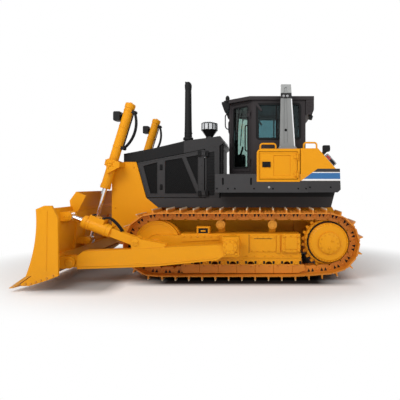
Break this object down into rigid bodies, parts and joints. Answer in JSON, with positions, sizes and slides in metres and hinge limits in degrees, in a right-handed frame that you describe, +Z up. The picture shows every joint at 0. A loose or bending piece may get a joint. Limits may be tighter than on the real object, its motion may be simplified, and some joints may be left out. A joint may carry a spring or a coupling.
{
  "type": "crawler bulldozer",
  "caption": "Crawler bulldozer with a curved semi-U blade on outside push arms, lift and tilt cylinders, a glazed cab under a roll-over frame, and oval tracks.",
  "frame": {"origin": "on the ground under the middle of the machine's overall length and width", "axes": "+X to the machine's rear, -X to the blade, +Y to the machine's right side, +Z up"},
  "size_m": [5.7363, 4.06, 3.865],
  "materials": {
    "yellow_paint": "gloss",
    "graphite_paint": "satin",
    "black_paint": "matte",
    "grey_paint": "satin",
    "rod_chrome": "polished",
    "worn_steel": "satin",
    "edge_steel": "satin",
    "tinted_glass": "clear",
    "seat_fabric": "matte",
    "lamp_plastic": "matte"
  },
  "bodies": {
    "tractor": {"main_frame": "yellow_paint", "rear_case": "yellow_paint", "radiator_guard": "yellow_paint", "left_box": "yellow_paint", "hydraulic_tank": "yellow_paint", "fuel_tank": "yellow_paint", "handrails": "yellow_paint", "track_frames": "yellow_paint", "final_drives": "yellow_paint", "equalizer_bar": "yellow_paint", "hood": "graphite_paint", "platform": "graphite_paint", "cab_front": "graphite_paint", "cab_left_side": "graphite_paint", "cab_right_side": "graphite_paint", "cab_rear": "graphite_paint", "cab_roof": "graphite_paint", "engine_block": "black_paint", "radiator_core": "black_paint", "hood_sills": "black_paint", "exhaust_stack": "black_paint", "air_precleaner": "black_paint", "rops_posts": "grey_paint", "rops_beam": "grey_paint", "track_left": "worn_steel", "track_right": "worn_steel", "idlers": "worn_steel", "sprockets": "worn_steel", "track_rollers": "worn_steel", "carrier_rollers": "worn_steel", "pivot_shafts": "worn_steel", "cab_glass": "tinted_glass", "operator_seat": "seat_fabric", "operator_console": "lamp_plastic", "work_lamps": "lamp_plastic"},
    "push_frame": {"push_arms": "yellow_paint"},
    "blade_body": {"blade": "yellow_paint", "cutting_edge": "edge_steel"},
    "lift_cylinder_left": {"lift_barrel_left": "yellow_paint", "lift_fitting_left": "lamp_plastic"},
    "lift_cylinder_right": {"lift_barrel_right": "yellow_paint", "lift_fitting_right": "lamp_plastic"},
    "lift_piston_left": {"lift_rod_left": "rod_chrome"},
    "lift_piston_right": {"lift_rod_right": "rod_chrome"},
    "tilt_cylinder_left": {"tilt_barrel_left": "yellow_paint"},
    "tilt_cylinder_right": {"tilt_barrel_right": "yellow_paint"},
    "tilt_piston_left": {"tilt_rod_left": "rod_chrome"},
    "tilt_piston_right": {"tilt_rod_right": "rod_chrome"},
    "engine_door_left_leaf": {"engine_door_left": "graphite_paint"},
    "engine_door_right_leaf": {"engine_door_right": "graphite_paint"},
    "cab_door_left_leaf": {"cab_door_left": "graphite_paint", "door_glass_left": "tinted_glass"},
    "cab_door_right_leaf": {"cab_door_right": "graphite_paint", "door_glass_right": "tinted_glass"},
    "locker_door_leaf": {"box_door": "yellow_paint"}
  },
  "joints": [
    {"name": "blade_lift", "type": "hinge", "parent": "tractor", "child": "push_frame", "pos_m": [0.555, 0, 0.64], "axis": [0, 1, 0], "range_deg": [-8, 18]},
    {"name": "blade_pitch", "type": "hinge", "parent": "push_frame", "child": "blade_body", "pos_m": [-2.155, 0, 0.374], "axis": [0, 1, 0], "range_deg": [-4, 4]},
    {"name": "lift_swing_left", "type": "hinge", "parent": "tractor", "child": "lift_cylinder_left", "pos_m": [-1.72, -0.85, 2.085], "axis": [0, 1, 0], "range_deg": [-4.42, 9.7]},
    {"name": "lift_stroke_left", "type": "slide", "parent": "lift_cylinder_left", "child": "lift_piston_left", "axis": [-0.2931, 0, -0.9561], "range_m": [-0.8273, 0.3688]},
    {"name": "tilt_swing_left", "type": "hinge", "parent": "push_frame", "child": "tilt_cylinder_left", "pos_m": [-1.04, -1.497, 0.712], "axis": [0, 1, 0], "range_deg": [-1.2, 1.2]},
    {"name": "tilt_stroke_left", "type": "slide", "parent": "tilt_cylinder_left", "child": "tilt_piston_left", "axis": [-0.9345, 0, 0.3559], "range_m": [-0.0517, 0.0517]},
    {"name": "lift_swing_right", "type": "hinge", "parent": "tractor", "child": "lift_cylinder_right", "pos_m": [-1.72, 0.85, 2.085], "axis": [0, 1, 0], "range_deg": [-4.42, 9.7]},
    {"name": "lift_stroke_right", "type": "slide", "parent": "lift_cylinder_right", "child": "lift_piston_right", "axis": [-0.2931, 0, -0.9561], "range_m": [-0.8273, 0.3688]},
    {"name": "tilt_swing_right", "type": "hinge", "parent": "push_frame", "child": "tilt_cylinder_right", "pos_m": [-1.04, 1.497, 0.712], "axis": [0, 1, 0], "range_deg": [-1.2, 1.2]},
    {"name": "tilt_stroke_right", "type": "slide", "parent": "tilt_cylinder_right", "child": "tilt_piston_right", "axis": [-0.9345, 0, 0.3559], "range_m": [-0.0517, 0.0517]},
    {"name": "engine_door_left_swing", "type": "hinge", "parent": "tractor", "child": "engine_door_left_leaf", "pos_m": [0, -0.775, 2], "axis": [0, 0, 1], "range_deg": [0, 100]},
    {"name": "cab_door_left_swing", "type": "hinge", "parent": "tractor", "child": "cab_door_left_leaf", "pos_m": [0.85214, -0.79209, 2.5], "axis": [0, 0, 1], "range_deg": [0, 95]},
    {"name": "engine_door_right_swing", "type": "hinge", "parent": "tractor", "child": "engine_door_right_leaf", "pos_m": [0, 0.775, 2], "axis": [0, 0, -1], "range_deg": [0, 100]},
    {"name": "cab_door_right_swing", "type": "hinge", "parent": "tractor", "child": "cab_door_right_leaf", "pos_m": [0.85214, 0.79209, 2.5], "axis": [0, 0, -1], "range_deg": [0, 95]},
    {"name": "locker_door_swing", "type": "hinge", "parent": "tractor", "child": "locker_door_leaf", "pos_m": [1.734, -1.17, 2.05], "axis": [0, 0, 1], "range_deg": [0, 100]}
  ],
  "couplings": [
    {"joint": "lift_swing_left", "follows": "blade_lift", "ratio": 0.528},
    {"joint": "lift_stroke_left", "follows": "blade_lift", "m_per_rad": -2.627},
    {"joint": "tilt_swing_left", "follows": "blade_pitch", "ratio": 0.2505},
    {"joint": "tilt_stroke_left", "follows": "blade_pitch", "m_per_rad": -0.7125},
    {"joint": "lift_swing_right", "follows": "blade_lift", "ratio": 0.528},
    {"joint": "lift_stroke_right", "follows": "blade_lift", "m_per_rad": -2.627},
    {"joint": "tilt_swing_right", "follows": "blade_pitch", "ratio": 0.2505},
    {"joint": "tilt_stroke_right", "follows": "blade_pitch", "m_per_rad": -0.7125}
  ]
}
